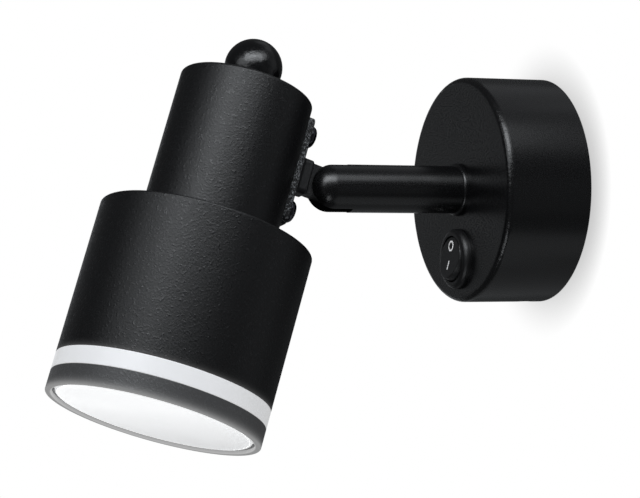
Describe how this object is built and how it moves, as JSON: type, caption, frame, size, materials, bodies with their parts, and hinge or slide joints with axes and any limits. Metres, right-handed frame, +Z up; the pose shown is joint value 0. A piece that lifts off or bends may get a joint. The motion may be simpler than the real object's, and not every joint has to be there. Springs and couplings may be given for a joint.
{
  "type": "wall sconce",
  "caption": "Wall reading lamp: round base with a rocker switch, short swivelling arm and a tilting stepped metal head with a ball finial, a milky light band and a recessed disc lamp.",
  "frame": {"origin": "centre of the round base on the wall plane, on the arm's axis", "axes": "+Y into the wall, -Y out into the room along the arm, +Z up, +X to the right seen from the room"},
  "size_m": [0.0988, 0.2046, 0.1582],
  "materials": {
    "satin_black": "satin black paint",
    "textured_black": "fine sand-textured black powder coat",
    "ring_grey": "satin dark grey paint",
    "black_zinc": "black zinc plate",
    "switch_black": "moulded black plastic, semi-gloss",
    "zinc_steel": "zinc-plated steel",
    "spring_steel": "blued spring steel",
    "brass": "bright brass",
    "black_rubber": "moulded rubber",
    "white_plastic": "moulded off-white plastic",
    "nylon": "natural nylon",
    "lamp_white": "white lamp housing",
    "lamp_face": "milky diffuser",
    "milky_acrylic": "milky white acrylic, satin"
  },
  "bodies": {
    "base": {"base_cup": "satin_black", "strap_screws": "black_zinc", "switch_body": "switch_black", "wall_strap": "zinc_steel", "earth_screw": "brass", "earth_washer": "zinc_steel", "clamp_screws": "zinc_steel", "block_screw": "zinc_steel", "stop_pin": "zinc_steel", "switch_blades": "brass", "cable_grommet": "black_rubber", "terminal_block": "white_plastic", "swivel_bush": "nylon"},
    "arm": {"arm_collar": "satin_black", "arm_nipple": "zinc_steel", "stop_washer": "zinc_steel", "spring_washer": "spring_steel", "lock_nut": "zinc_steel", "arm_bar": "satin_black", "pivot_screw": "black_zinc", "friction_washers": "nylon"},
    "head": {"tilt_bracket": "textured_black", "bracket_screws": "black_zinc", "bracket_nuts": "zinc_steel", "head_cup": "textured_black", "ball_finial": "satin_black", "tie_rod": "zinc_steel", "rod_nuts": "zinc_steel", "rod_washer": "zinc_steel", "shade_drum": "textured_black", "acrylic_band": "milky_acrylic", "trim_ring": "ring_grey", "holder_bridge": "zinc_steel", "lamp_holder": "white_plastic", "holder_screws": "zinc_steel", "lamp_body": "lamp_white", "lamp_diffuser": "lamp_face", "lamp_pins": "brass"},
    "rocker": {"switch_rocker": "switch_black"}
  },
  "joints": [
    {"name": "arm_swivel", "type": "hinge", "parent": "base", "child": "arm", "pos_m": [0, 0, 0], "axis": [0, -1, 0], "range_deg": [-172.4, 153.6]},
    {"name": "head_tilt", "type": "hinge", "parent": "arm", "child": "head", "pos_m": [0, -0.0895, 0], "axis": [-0.9866, 0, -0.1633], "range_deg": [-65, 70]},
    {"name": "switch_rock", "type": "hinge", "parent": "base", "child": "rocker", "pos_m": [0, -0.0358, -0.0271], "axis": [1, 0, 0], "range_deg": [0, 21]}
  ]
}
